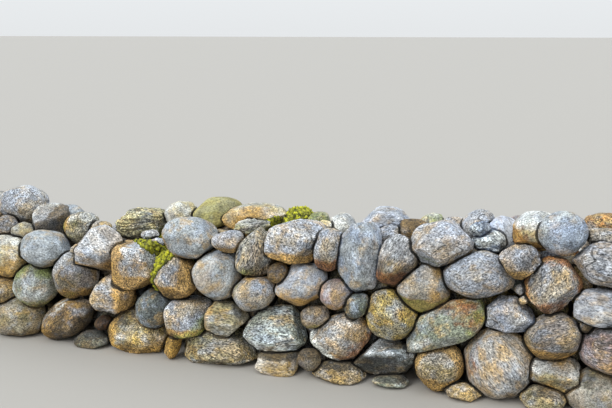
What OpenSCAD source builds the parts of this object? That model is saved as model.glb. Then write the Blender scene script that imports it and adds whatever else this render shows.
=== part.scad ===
// Dry stone wall: a straight run of round field boulders, laid without mortar in rough courses.
// Row frame: +X along the wall, the shown face towards -Y, +Z up, the floor at z = 0, origin in the middle.

/* [Wall] */
// length of the run, mm
wall_l = 4100; // [3700:10:4500]
// thickness at the foot, mm
foot_w = 720; // [650:5:790]
// height to the top of the tallest stones, mm
wall_h = 910; // [820:5:1000]
// how far each face leans back for every mm of height
batter = 0.08; // [0.06:0.005:0.10]

/* [Stones] */
// how hard the stones are pressed to their neighbours
press = 1.04; // [1.03:0.005:1.07]
// clearance left between two stones that touch, mm
seat = 0.3; // [0.2:0.05:0.4]
// roundness of water-worn stones
round_power = 2.1; // [2.05:0.05:2.3]
// roundness of field stones
field_power = 2.4; // [2.3:0.05:2.6]
// roundness of blocky stones
block_power = 2.9; // [2.7:0.05:3.1]

/* [Hidden] */
// The lists below are drawn on a wall of this length, thickness and height; the sizes above stretch it.
drawn = [410, 72, 91];
along = wall_l/drawn[0];
across = foot_w/drawn[1];
up = wall_h/drawn[2];
front_points = 36;
back_points = 18;
heart_points = 9;
turn_step = 137.508;
reach = 1.4;
rounds = 8;
power = [round_power, field_power, block_power];
flats = [2, 4, 6];
flat_from = [0.90, 0.84, 0.78];
flat_to = [0.97, 0.95, 0.92];

// One row a stone: along, up, length, height, depth, tilt, shape, set back; shape 0 is round, 1 field,
// 2 blocky. A last list holds broken flats: turn from the front, lift, how much is kept.
foot_left = [
  [-156, 8, 29, 27, 26, 0, 1, 0, [[-20, 60, 0.84]]],
  [-123, 12, 35, 20, 24, 30, 0, 0],
  [-105, 2, 21, 11, 18, 0, 1, 0, [[-20, 60, 0.82]]],
  [-98, 13, 8, 8, 14, 10, 0, 3],
  [-77, 7, 37, 27, 30, 0, 1, 0, [[0, 60, 0.84], [-50, 10, 0.86], [25, 5, 0.86]]]
];
foot_middle = [
  [-52, 7, 7, 13, 12, -20, 2, 0],
  [-28, 6, 48, 24, 30, 0, 1, 0, [[35, 70, 0.8], [-10, 30, 0.84]]],
  [7, 4, 22, 15, 18, 0, 2, 0, [[-10, 45, 0.8]]],
  [25, 9, 12, 11, 14, 15, 0, 0],
  [40, 3, 31, 13, 20, 0, 1, 0, [[0, 55, 0.8]]]
];
foot_right = [
  [61, 11, 36, 19, 26, 8, 2, 0, [[0, -28, 0.6], [0, 80, 0.82], [-60, 50, 0.72]]],
  [66, 2, 17, 8, 15, 0, 1, 2],
  [90, 12, 24, 25, 24, 0, 1, 0, [[-60, -40, 0.8], [0, 55, 0.82], [60, -40, 0.84]]],
  [102, 3, 19, 8, 14, 0, 0, 0],
  [118, 16, 34, 38, 34, 0, 0, -1],
  [145, 16, 22, 16, 20, 10, 2, 1, [[0, 60, 0.72], [10, -20, 0.78]]],
  [140, 4, 22, 14, 18, 5, 0, 0],
  [163, 8, 31, 25, 26, 0, 0, 0]
];
second_left = [
  [-168, 25, 22, 14, 22, 0, 1, 0, [[10, 40, 0.84]]],
  [-144, 29, 24, 23, 26, -12, 1, 0],
  [-118, 38, 25, 27, 28, -10, 0, 0],
  [-93, 30, 26, 24, 26, 0, 2, 0, [[-70, 45, 0.68], [60, 50, 0.72], [0, -75, 0.85], [-20, 10, 0.84]]],
  [-67, 24, 20, 21, 22, 0, 0, 0]
];
second_middle = [
  [-46, 21, 20, 21, 24, 25, 1, 0],
  [-24, 23, 23, 18, 22, 0, 2, 0, [[60, 45, 0.78], [60, -50, 0.75], [10, 40, 0.76], [-20, -15, 0.84]]],
  [4, 19, 38, 24, 28, 12, 2, 0, [[80, 35, 0.7], [-30, 70, 0.8], [-15, 20, 0.84], [0, -50, 0.84]]],
  [26, 31, 15, 10, 16, 0, 1, 1],
  [39, 20, 31, 26, 28, 12, 1, 0, [[-20, 50, 0.84], [50, -10, 0.82]]]
];
second_right = [
  [93, 33, 51, 20, 24, 33, 2, 0, [[-10, 20, 0.84], [0, -55, 0.84]]],
  [142, 33, 27, 21, 26, 15, 0, 0],
  [167, 30, 26, 23, 26, 0, 0, 0]
];
third_left = [
  [-165, 45, 30, 23, 28, 5, 1, 0, [[0, 60, 0.8], [0, 0, 0.84]]],
  [-138, 51, 29, 20, 26, -3, 0, 0],
  [-103, 53, 31, 25, 28, 8, 1, 0, [[0, 45, 0.8], [0, -35, 0.72], [60, 20, 0.8]]],
  [-77, 47, 27, 25, 28, 0, 2, 0, [[0, 85, 0.84], [5, 5, 0.8], [-60, -40, 0.84]]]
];
third_middle = [
  [-55, 42, 24, 25, 26, 15, 1, 0, [[15, 10, 0.78], [0, -45, 0.8]]],
  [-30, 46, 26, 26, 28, 0, 0, 0],
  [-8, 39, 24, 18, 22, 17, 0, 0],
  [6, 52, 10, 10, 14, 0, 1, 0],
  [17, 46, 28, 21, 26, 15, 0, 0],
  [37, 43, 16, 16, 20, 0, 0, 0],
  [48, 39, 12, 12, 18, 0, 1, 0]
];
third_right = [
  [65, 35, 28, 26, 28, 0, 0, 0],
  [79, 50, 29, 24, 26, 20, 1, 0, [[0, 50, 0.84], [0, -30, 0.82]]],
  [106, 59, 41, 21, 28, 8, 0, 0],
  [122, 41, 25, 16, 24, 0, 2, 0, [[0, -80, 0.8], [-60, 50, 0.78], [60, 50, 0.74], [0, 15, 0.84]]],
  [140, 57, 27, 27, 28, 0, 1, 0, [[-10, 20, 0.86], [30, -30, 0.84]]],
  [162, 48, 35, 17, 26, 0, 2, 0, [[-75, 50, 0.75], [0, -80, 0.85], [0, 25, 0.78]]]
];
upper_middle = [
  [-46, 64, 31, 21, 28, -8, 0, 0],
  [-22, 65, 16, 11, 18, 0, 1, 0, [[0, -50, 0.82]]],
  [-9, 60, 21, 26, 26, 0, 2, 0, [[-60, 55, 0.72], [60, 65, 0.85], [30, -60, 0.85]]],
  [14, 67, 28, 19, 26, 0, 2, 0, [[0, -75, 0.88], [-10, 50, 0.82]]],
  [32, 65, 15, 21, 24, 0, 1, 0],
  [47, 63, 27, 38, 28, -8, 2, 0, [[-12, 5, 0.78], [65, 15, 0.76], [40, 60, 0.78], [-50, 60, 0.82]]]
];
upper_right = [
  [67, 61, 21, 25, 26, 0, 1, 0, [[-10, 50, 0.8], [40, -20, 0.84]]],
  [88, 72, 29, 20, 26, 0, 1, 0, [[0, 35, 0.84], [25, -40, 0.78]]],
  [125, 67, 19, 17, 20, 0, 1, 0, [[-50, -45, 0.75], [50, -45, 0.75]]],
  [162, 70, 30, 21, 26, 0, 2, 0, [[-70, 40, 0.78], [-60, -50, 0.78], [0, 30, 0.82]]]
];
// Small stones wedged between the larger ones.
wedge_list = [
  [-116, 53, 8, 5, 12, 25, 1, 6],
  [-77, 61, 10, 5, 10, 0, 1, 20],
  [-71, 57, 7, 6, 12, 0, 1, 17],
  [126, 54, 5, 5, 10, 0, 0, 6],
  [128, 50, 5, 5, 10, 0, 0, 4],
  [156, 40, 6, 6, 12, 0, 0, 5]
];
// Stones that lie on top, set back from the shown face.
top_left = [
  [-171, 59, 15, 11, 18, 0, 1, 12],
  [-171, 69, 29, 23, 28, 0, 0, 24],
  [-157, 58, 15, 9, 16, 0, 1, 12],
  [-147, 60, 22, 16, 22, 0, 1, 38],
  [-146, 61, 26, 20, 26, 0, 2, 17, [[0, 80, 0.84], [40, -10, 0.8]]],
  [-124, 60, 20, 18, 24, 0, 1, 18],
  [-112, 60, 13, 9, 14, 0, 1, 24],
  [-93, 63, 36, 16, 28, 10, 2, 28, [[-60, 50, 0.75], [0, 10, 0.84]]],
  [-67, 68, 19, 16, 24, 0, 1, 32]
];
top_middle = [
  [-47, 68, 35, 22, 28, 13, 0, 34],
  [-19, 70, 43, 18, 26, 5, 1, 26, [[0, 40, 0.84]]],
  [-17, 69, 20, 9, 18, 10, 2, 16],
  [5, 69, 18, 16, 24, 0, 1, 30],
  [16, 70, 11, 13, 22, 0, 1, 30],
  [23, 71, 9, 8, 14, 0, 1, 24],
  [30, 70, 15, 14, 22, 0, 1, 28],
  [53, 72, 30, 17, 28, 0, 1, 30, [[-50, 60, 0.78], [60, 60, 0.82]]]
];
top_right = [
  [59, 69, 15, 11, 18, 0, 1, 24],
  [71, 72, 19, 13, 20, 0, 1, 24, [[0, 70, 0.8]]],
  [78, 73, 14, 12, 22, 0, 1, 34],
  [89, 72, 15, 13, 22, 0, 1, 32],
  [102, 73, 20, 20, 26, 0, 0, 30],
  [104, 78, 9, 7, 12, 0, 2, 18],
  [109, 72, 16, 10, 16, 0, 2, 17],
  [115, 73, 19, 16, 24, 0, 1, 26],
  [130, 79, 19, 17, 24, 0, 1, 12, [[-30, 60, 0.82], [0, -40, 0.82]]],
  [143, 81, 23, 20, 26, 0, 0, 2],
  [162, 78, 19, 9, 18, 0, 2, 14],
  [162, 79, 21, 16, 24, 0, 1, 26]
];
// The course under the top stones, along the other face.
back_list = [
  [-160, 58, 34, 15, 26, 0, 1, 0],
  [-40, 61, 28, 15, 26, 0, 1, 0],
  [-14, 61, 24, 18, 26, 0, 1, 0],
  [12, 63, 30, 18, 26, 0, 1, 0],
  [40, 58, 28, 20, 26, 0, 1, 0],
  [66, 60, 26, 20, 26, 0, 1, 0],
  [88, 68, 28, 20, 26, 0, 1, 0],
  [122, 72, 22, 18, 26, 0, 1, 0],
  [166, 68, 34, 22, 26, 0, 1, 0]
];
// The two ends of the run: stones on both faces, then those on top.
end_left = [
  [-190, 9, 34, 28, 28, 0, 1, 0],
  [-194, 31, 25, 20, 26, 0, 1, 0],
  [-193, 51, 26, 20, 26, 0, 1, 0]
];
end_left_top = [
  [-194, 65, 26, 18, 28, 0, 1, 30],
  [-191, 66, 27, 14, 22, 0, 1, 6]
];
end_right = [
  [191, 10, 32, 29, 28, 0, 1, 0],
  [194, 32, 26, 20, 26, 0, 1, 0],
  [194, 49, 26, 17, 26, 0, 1, 0],
  [191, 66, 29, 20, 28, 0, 1, 0]
];
end_right_top = [
  [186, 80, 24, 18, 28, 0, 1, 14]
];

// A full stone: along, across, up, half length, half depth, half height, tilt, shape, points, seed, flats.
function inset(s) = batter*s[1]*up + (s[4]/2 + s[7])*across;
function stone(s, side, points, seed) = [
  s[0]*along, side*(foot_w/2 - inset(s)), s[1]*up,
  s[2]/2*along*press, s[4]/2*across*press, s[3]/2*up*press,
  s[5], s[6], points, seed, len(s) > 8 ? [for (f = s[8]) facing(side, f)] : []
];
function facing(side, f) = [[sin(f[0])*cos(f[1]), side*cos(f[0])*cos(f[1]), sin(f[1])], f[2]];
function row_of(list, side, points, seed) =
  [for (i = [0:len(list) - 1]) stone(list[i], side, points, seed + i)];
function front_of(list, seed) = row_of(list, -1, front_points, seed);
function back_of(list, seed) = row_of(list, 1, back_points, seed);

// Packing stones inside: one column after another, each column some layers high.
heart_cols = 19;
heart_step = 20;
heart_rise = 16.5;
heart_deep = 27;
function heart_stone(i, k) = [
  (i - (heart_cols - 1)/2 + (k % 2 - 0.5)/2)*heart_step*along, 0, (k + 0.55)*heart_rise*up,
  heart_step/2*along*press, heart_deep/2*across, heart_rise/2*up*press,
  (i*7 + k*11) % 15 - 7, 1, heart_points, 900 + i + 40*k, []
];
function heart_of(from, to, layers) =
  [for (i = [from:to]) for (k = [0:layers - 1]) heart_stone(i, k)];

front_foot_l = front_of(foot_left, 100);
front_foot_m = front_of(foot_middle, 110);
front_foot_r = front_of(foot_right, 120);
front_second_l = front_of(second_left, 130);
front_second_m = front_of(second_middle, 140);
front_second_r = front_of(second_right, 150);
front_third_l = front_of(third_left, 160);
front_third_m = front_of(third_middle, 170);
front_third_r = front_of(third_right, 180);
front_upper_m = front_of(upper_middle, 190);
front_upper_r = front_of(upper_right, 200);
wedges = row_of(wedge_list, -1, back_points, 210);
top_l = front_of(top_left, 220);
top_m = front_of(top_middle, 240);
top_r = front_of(top_right, 260);
back_foot_l = back_of(foot_left, 300);
back_foot_m = back_of(foot_middle, 310);
back_foot_r = back_of(foot_right, 320);
back_second_l = back_of(second_left, 330);
back_second_m = back_of(second_middle, 340);
back_second_r = back_of(second_right, 350);
back_third_l = back_of(third_left, 360);
back_third_m = back_of(third_middle, 370);
back_third_r = back_of(third_right, 380);
back_upper = back_of(back_list, 390);
heart_l = heart_of(0, 5, 3);
heart_m = heart_of(6, 12, 4);
heart_r = heart_of(13, heart_cols - 1, 4);
end_l = concat(front_of(end_left, 410), back_of(end_left, 420), front_of(end_left_top, 430));
end_r = concat(front_of(end_right, 440), back_of(end_right, 450), front_of(end_right_top, 460));
all_stones = concat(front_foot_l, front_foot_m, front_foot_r, front_second_l, front_second_m,
  front_second_r, front_third_l, front_third_m, front_third_r, front_upper_m, front_upper_r,
  wedges, top_l, top_m, top_r, back_foot_l, back_foot_m, back_foot_r, back_second_l,
  back_second_m, back_second_r, back_third_l, back_third_m, back_third_r, back_upper,
  heart_l, heart_m, heart_r, end_l, end_r);

// Shape of one stone, seen along a direction n from its centre.
function turned(s, v) = [cos(s[6])*v[0] - sin(s[6])*v[2], v[1], sin(s[6])*v[0] + cos(s[6])*v[2]];
function unturned(s, v) = [cos(s[6])*v[0] + sin(s[6])*v[2], v[1], cos(s[6])*v[2] - sin(s[6])*v[0]];
function rim(s, v) = let(p = power[s[7]])
  pow(pow(abs(v[0])/s[3], p) + pow(abs(v[1])/s[4], p) + pow(abs(v[2])/s[5], p), -1/p);
function support(s, v) = let(p = power[s[7]], q = p/(p - 1))
  pow(pow(abs(v[0])*s[3], q) + pow(abs(v[1])*s[4], q) + pow(abs(v[2])*s[5], q), 1/q);
function fan(count, k, turn) = let(y = 1 - (2*k + 1)/count, c = sqrt(1 - y*y))
  [c*cos(turn_step*k + turn), y, c*sin(turn_step*k + turn)];
function own_flats(s) = let(
  r = rands(-1, 1, 3*flats[s[7]], s[9]),
  f = rands(flat_from[s[7]], flat_to[s[7]], flats[s[7]], s[9] + 7)
) concat([for (k = [0:flats[s[7]] - 1]) let(
    m = [r[3*k], r[3*k + 1], r[3*k + 2] + 0.001], v = m/norm(m)
  ) [turned(s, v), f[k]*support(s, v)]],
  [for (c = s[10]) [c[0], c[1]*support(s, unturned(s, c[0]))]]);

// The plane between two stones: both are swelled or shrunk alike until they just touch.
function spread(s, v) = let(u = unturned(s, v))
  turned(s, [u[0]*s[3]*s[3], u[1]*s[4]*s[4], u[2]*s[5]*s[5]]);
function matrix(s) = [
  spread(s, [1, 0, 0]), spread(s, [0, 1, 0]), spread(s, [0, 0, 1])
];
function solved(m, r) = let(
  a = cross(m[1], m[2]), b = cross(m[2], m[0]), c = cross(m[0], m[1]), d = m[0]*a
) [a*r/d, b*r/d, c*r/d];
function balance(mi, mj, r, t, left) = let(x = solved((1 - t)*mi + t*mj, r))
  left == 0 ? [t, x] : let(q = sqrt((x*(mi*x))/(x*(mj*x)))) balance(mi, mj, r, q/(1 + q), left - 1);
function centre(s) = [s[0], s[1], s[2]];
function near(s, o) = let(r = centre(o) - centre(s))
  norm(r) > 1 && norm(r) < reach*(max(s[3], s[4], s[5]) + max(o[3], o[4], o[5]));
// The plane's normal, its distance from this stone's centre, the touching point and the scale.
function parting(s, o) = let(
  mi = matrix(s), mj = matrix(o), r = centre(o) - centre(s),
  found = balance(mi, mj, r, 0.5, rounds), t = found[0], x = found[1],
  n = x/norm(x), p = (1 - t)*(mi*x)
) [n, n*p - seat/2, p, sqrt(t*(1 - t)*(r*x))];
function partings(s) = [for (o = all_stones) if (near(s, o))
  let(q = parting(s, o)) if (q[3] < reach) q];

function limits(s) = [
  [[0, 0, -1], s[2]], [[0, 0, 1], wall_h - s[2]],
  [[1, 0, 0], wall_l/2 - s[0]], [[-1, 0, 0], wall_l/2 + s[0]],
  [[0, 1, 0], foot_w/2 - s[1]], [[0, -1, 0], foot_w/2 + s[1]]
];
function cut_short(planes, v, r) = min([r, for (q = planes) if (q[0]*v > 0.0001) q[1]/(q[0]*v)]);
function axes() = [[1, 0, 0], [-1, 0, 0], [0, 1, 0], [0, -1, 0], [0, 0, 1], [0, 0, -1]];

module boulder(s) {
  apart = partings(s);
  planes = concat(own_flats(s), limits(s), apart);
  ways = concat(
    [for (k = [0:s[8] - 1]) turned(s, fan(s[8], k, 47*s[9]))],
    [for (a = axes()) turned(s, a)],
    [for (c = s[10]) c[0]],
    [[0, 0, -1]],
    [for (q = apart) if (q[3] < 1.02) q[2]/norm(q[2])]
  );
  skin = [for (v = ways) centre(s) + v*cut_short(planes, v, rim(s, unturned(s, v)))];
  hull() polyhedron(points = skin, faces = [[for (i = [0:len(skin) - 1]) i]]);
}

module boulders(list) {
  for (s = list) boulder(s);
}

module front_foot_left() { color("#9b8f80") boulders(front_foot_l); }
module front_foot_middle() { color("#9b8f80") boulders(front_foot_m); }
module front_foot_right() { color("#9b8f80") boulders(front_foot_r); }
module front_second_left() { color("#a39a8e") boulders(front_second_l); }
module front_second_middle() { color("#a39a8e") boulders(front_second_m); }
module front_second_right() { color("#a39a8e") boulders(front_second_r); }
module front_third_left() { color("#aaa39a") boulders(front_third_l); }
module front_third_middle() { color("#aaa39a") boulders(front_third_m); }
module front_third_right() { color("#aaa39a") boulders(front_third_r); }
module front_upper_middle() { color("#b0aba3") boulders(front_upper_m); }
module front_upper_right() { color("#b0aba3") boulders(front_upper_r); }
module front_wedges() { color("#b98f6a") boulders(wedges); }
module cope_left() { color("#b6b2aa") boulders(top_l); }
module cope_middle() { color("#b6b2aa") boulders(top_m); }
module cope_right() { color("#b6b2aa") boulders(top_r); }
module back_foot_left() { color("#968b7c") boulders(back_foot_l); }
module back_foot_middle() { color("#968b7c") boulders(back_foot_m); }
module back_foot_right() { color("#968b7c") boulders(back_foot_r); }
module back_second_left() { color("#9e958a") boulders(back_second_l); }
module back_second_middle() { color("#9e958a") boulders(back_second_m); }
module back_second_right() { color("#9e958a") boulders(back_second_r); }
module back_third_left() { color("#a59e95") boulders(back_third_l); }
module back_third_middle() { color("#a59e95") boulders(back_third_m); }
module back_third_right() { color("#a59e95") boulders(back_third_r); }
module back_upper_run() { color("#aba69e") boulders(back_upper); }
module hearting_left() { color("#7d766c") boulders(heart_l); }
module hearting_middle() { color("#7d766c") boulders(heart_m); }
module hearting_right() { color("#7d766c") boulders(heart_r); }
module wall_end_left() { color("#a19888") boulders(end_l); }
module wall_end_right() { color("#a19888") boulders(end_r); }

front_foot_left();
front_foot_middle();
front_foot_right();
front_second_left();
front_second_middle();
front_second_right();
front_third_left();
front_third_middle();
front_third_right();
front_upper_middle();
front_upper_right();
front_wedges();
cope_left();
cope_middle();
cope_right();
back_foot_left();
back_foot_middle();
back_foot_right();
back_second_left();
back_second_middle();
back_second_right();
back_third_left();
back_third_middle();
back_third_right();
back_upper_run();
hearting_left();
hearting_middle();
hearting_right();
wall_end_left();
wall_end_right();
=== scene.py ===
import math

import bpy
import numpy as np
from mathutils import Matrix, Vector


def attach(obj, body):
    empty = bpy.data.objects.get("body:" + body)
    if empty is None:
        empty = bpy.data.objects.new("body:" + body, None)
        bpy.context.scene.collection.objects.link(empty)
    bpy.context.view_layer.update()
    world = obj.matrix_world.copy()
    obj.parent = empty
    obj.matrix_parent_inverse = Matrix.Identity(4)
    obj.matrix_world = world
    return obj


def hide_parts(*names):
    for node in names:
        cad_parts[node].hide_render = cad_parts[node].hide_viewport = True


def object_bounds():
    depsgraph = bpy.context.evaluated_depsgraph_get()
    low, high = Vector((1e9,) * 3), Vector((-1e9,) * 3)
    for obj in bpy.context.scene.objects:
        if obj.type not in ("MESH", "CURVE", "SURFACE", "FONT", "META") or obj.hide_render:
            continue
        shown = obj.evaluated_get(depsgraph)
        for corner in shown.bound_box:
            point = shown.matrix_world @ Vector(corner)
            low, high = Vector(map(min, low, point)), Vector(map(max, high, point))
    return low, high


# Dry stone wall of field boulders. Every boulder is grown from its own solid of the frame, in metres.
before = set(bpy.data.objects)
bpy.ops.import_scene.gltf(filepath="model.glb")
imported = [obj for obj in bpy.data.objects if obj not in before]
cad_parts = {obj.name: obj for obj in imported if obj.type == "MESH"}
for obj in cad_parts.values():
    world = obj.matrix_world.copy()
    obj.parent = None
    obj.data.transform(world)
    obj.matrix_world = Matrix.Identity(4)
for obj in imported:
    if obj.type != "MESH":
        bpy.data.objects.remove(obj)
cadLow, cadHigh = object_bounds()
wallLow, wallHigh = np.array(cadLow), np.array(cadHigh)
print("frame loaded:", len(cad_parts), "nodes")


def toLinear(hexColour):  # sRGB hex to the linear colour that a shader takes
    parts = [int(hexColour[i:i + 2], 16) / 255 for i in (1, 3, 5)]
    return [c / 12.92 if c <= 0.04045 else ((c + 0.055) / 1.055) ** 2.4 for c in parts] + [1.0]


def addNode(tree, kind, inputs, **settings):  # adds a node with its settings and links, gives its outputs
    node = tree.nodes.new("ShaderNode" + kind)
    for name, value in settings.items():
        setattr(node, name, value)
    for name, value in inputs.items():
        if isinstance(value, bpy.types.NodeSocket):
            tree.links.new(value, node.inputs[name])
        else:
            node.inputs[name].default_value = value
    return node.outputs


# How a boulder gets its surface: soften is in degrees, lumps, dents, knobs and ledges in mm, chips and
# edges as shares of the radius, and a flat of a larger share than crisp stays crisp.
forms = {
    "worn": dict(soften=9.5, lumps=3, dents=0.98, knobs=0.3, chips=2, chipAt=(0.94, 0.99), crisp=0.06,
        edge=0.035, ledges=0),
    "field": dict(soften=8, lumps=4.5, dents=1.54, knobs=0.48, chips=6, chipAt=(0.88, 0.975),
        crisp=0.045, edge=0.016, ledges=0),
    "split": dict(soften=5, lumps=4, dents=2.24, knobs=0.66, chips=9, chipAt=(0.84, 0.96), crisp=0.03,
        edge=0.006, ledges=0),
    "layered": dict(soften=5, lumps=4, dents=2.8, knobs=0.72, chips=7, chipAt=(0.84, 0.96), crisp=0.03,
        edge=0.008, ledges=10),
    "packing": dict(soften=5, lumps=3, dents=2.8, knobs=0.6, chips=8, chipAt=(0.90, 0.99), crisp=0.9,
        edge=0.010, ledges=0),
}
shaping = {
    "weld": 0.00005,  # corners nearer than this are one corner
    "sliver": 1e-7,  # faces under this area, in square metres, say nothing of the shape
    "swell": 1.03,  # a solid's corners lie on the boulder, and its flats inside it
    "packingSwell": 1.7,  # packing stones fill what room the boulders leave
    "tallest": 1.25,  # how far a boulder may rise over a broad flat before it is cut
    "gap": 0.002,  # dark line left between two boulders that touch
    "settleRounds": 5,
    "least": 0.3,  # a boulder gives way to no less than this share of its radius in one round
    "fitGrid": 12,
    "gridSteps": (6, 56),  # fewest and most steps along a side of a boulder's grid
    "evenShare": 0.8,  # how far a point moves to the mean of its neighbours in one round
    "samePlane": (0.9995, 0.0003),  # faces that turn and lie this nearly the same are one flat
    "sameCut": 50,  # flats whose ways agree to 1 in this many are cut once
    "beyond": 5,  # further out than any surface
    "level": 1e-6,  # a way that turns less than this to a plane never meets it
    "chipFacing": 0.2,  # the same for a chip, a broad flat and a broken face
    "broadFacing": 0.02,
    "flatFacing": 0.05,
    "dentLevel": 0.7,  # where the surface between two dents stands as it was
    "lumpWave": 0.15,  # wavelengths in metres, as are those of dents and knobs
    "dentWave": 0.07,
    "knobWave": 0.028,
    "ledgePitch": 0.019,
    "ledgeWander": 0.5,
    "waves": 18,
    "waveSpread": (0.7, 1.4),
    "ridgeRounds": 14,  # ridges get painted light and dents painted shade, over about this many steps of the grid
    "ridgeHeight": 3.0,  # a ridge this many mm high is as pale as it gets
    "ridgeLight": 0.22,
    "joint": 0.024,  # damp, dirt and painted shade gather on a boulder this near to the next
    "jointReach": 0.005,
    "streak": (0.4, 0.9),  # patterns are drawn out along a boulder's length, to this share of their pace
    "streakAcross": 0.85,
    "grainShift": 20,  # metres from one boulder's patterns to another's, at the most
    "toneDrift": (0.95, 1.05),
}
sides = {"foot": (0, 0, -1), "top": (0, 0, 1), "left": (-1, 0, 0), "right": (1, 0, 0),
         "face": (0, -1, 0), "rear": (0, 1, 0)}
grids = {}


def ballGrid(n):  # a ball of six n x n sheets: its ways out, its quads and the neighbours of each point
    if n in grids:
        return grids[n]
    t = np.tan(np.linspace(-1, 1, n + 1) * math.pi / 4)
    a, b = np.meshgrid(t, t, indexing="ij")
    sheets = [np.roll(np.stack([np.full_like(a, side), a, b], -1), axis, -1)
              for axis in range(3) for side in (-1, 1)]
    points = np.array(sheets).reshape(-1, 3)
    keys = np.round(points * 1e6).astype(np.int64)
    _, first, back = np.unique(keys, axis=0, return_index=True, return_inverse=True)
    ways = points[first] / np.linalg.norm(points[first], axis=1)[:, None]
    table = back.reshape(6, n + 1, n + 1)
    quads = np.stack([table[:, :-1, :-1], table[:, 1:, :-1], table[:, 1:, 1:], table[:, :-1, 1:]], -1)
    quads[::2] = quads[::2, ..., ::-1].copy()  # so that every quad faces outward
    quads = quads.reshape(-1, 4)
    edges = np.concatenate([quads[:, [i, (i + 1) % 4]] for i in range(4)])
    edges = np.unique(np.concatenate([edges, edges[:, ::-1]]), axis=0)
    grids[n] = {"n": n, "ways": ways, "quads": quads, "table": table, "start": edges[:, 0],
                "end": edges[:, 1], "degree": np.bincount(edges[:, 0], minlength=len(ways))}
    return grids[n]


def evened(values, grid, rounds):  # each point takes on some of the mean of its neighbours
    for _ in range(rounds):
        mean = np.bincount(grid["start"], values[grid["end"]], len(values)) / grid["degree"]
        values = values + shaping["evenShare"] * (mean - values)
    return values


def stonePlanes(node):  # the node's loose solids, each as face normals, distances, areas and corners
    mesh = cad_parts[node].data
    corners = np.zeros(len(mesh.vertices) * 3)
    mesh.vertices.foreach_get("co", corners)
    corners = corners.reshape(-1, 3)
    mesh.calc_loop_triangles()
    faces = np.zeros(len(mesh.loop_triangles) * 3, int)
    mesh.loop_triangles.foreach_get("vertices", faces)
    keys = np.round(corners / shaping["weld"]).astype(np.int64)
    _, first, back = np.unique(keys, axis=0, return_index=True, return_inverse=True)
    corners = corners[first]
    faces = back.reshape(-1)[faces].reshape(-1, 3)
    group = np.arange(len(corners))
    while True:  # corners joined by a face end in one group
        low = group[faces].min(1)
        after = group.copy()
        np.minimum.at(after, faces.reshape(-1), np.repeat(low, 3))
        if (after == group).all():
            break
        group = after
    stones = []
    for g in np.unique(group):
        own = faces[group[faces[:, 0]] == g]
        a, b, c = corners[own[:, 0]], corners[own[:, 1]], corners[own[:, 2]]
        cross = np.cross(b - a, c - a)
        area = np.linalg.norm(cross, axis=1) / 2
        keep = area > shaping["sliver"]
        normals = cross[keep] / (2 * area[keep])[:, None]
        stones.append({"normals": normals, "reach": (normals * a[keep]).sum(1), "areas": area[keep],
                       "corners": corners[np.unique(own)]})
    return stones


def cast(normals, room, ways):  # how far each way goes before it meets a plane
    along = ways @ normals.T
    level = shaping["level"]
    return np.where(along > level, room / np.maximum(along, level), shaping["beyond"]).min(1)


def fitAxes(stone):  # the middle of a solid and the ellipsoid that has its spread, longest axis first
    ways = ballGrid(shaping["fitGrid"])["ways"]
    middle = stone["corners"].mean(0)
    for _ in range(2):
        r = cast(stone["normals"], stone["reach"] - stone["normals"] @ middle, ways)
        middle = middle + (ways * (r ** 4 / 4)[:, None]).mean(0) / (r ** 3 / 3).mean()
    r = cast(stone["normals"], stone["reach"] - stone["normals"] @ middle, ways)
    spread = np.einsum("i,ij,ik->jk", r ** 5 / 5, ways, ways) / len(ways) / (r ** 3 / 3).mean()
    values, axes = np.linalg.eigh(spread)
    axes, half = axes[:, ::-1], np.sqrt(5 * values[::-1])
    if np.linalg.det(axes) < 0:
        axes[:, 2] *= -1
    return middle, axes, half


def ripples(places, wave, draw):  # a smooth random field with about that wavelength, mostly within -2 to 2
    count = shaping["waves"]
    ways = draw.normal(size=(count, 3))
    ways /= np.linalg.norm(ways, axis=1)[:, None]
    ways *= (2 * math.pi / wave * draw.uniform(*shaping["waveSpread"], count))[:, None]
    return np.cos(places @ ways.T + draw.uniform(0, 2 * math.pi, count)).sum(1) * math.sqrt(2 / count)


def smooth(low, high, x):  # 0 under low, 1 over high, and an even curve between
    t = np.clip((x - low) / (high - low), 0, 1)
    return t * t * (3 - 2 * t)


def cutFlat(radius, along, far, facing, edge):  # cuts a flat that lies this far out, with a rounded edge
    cut = np.where(along > facing, far / np.maximum(along, facing), shaping["beyond"])
    return -edge * np.logaddexp(-radius / edge, -cut / edge)


def readWords(text):  # "ochre foot 60 left rear 50" is ochre to the foot, and again to the left rear
    words = []
    for phrase in filter(None, text.split(", ")):
        what, *parts = phrase.split()
        places = []
        for part in parts:
            if part in sides or part == "rim":
                places.append(part)
            else:
                words.append((what, places, float(part) / 100))
                places = []
    return words


def strengths(words, word):  # how strong a boulder's words say that something is, each time they name it
    return [strength for what, _, strength in words if what == word]


def wayOf(places, mirrored):  # the way that a list of places points; the back face is the front mirrored
    way = np.sum([sides[p] for p in places], axis=0, dtype=float) * (1, -1 if mirrored else 1, 1)
    return way / np.linalg.norm(way)


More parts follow.
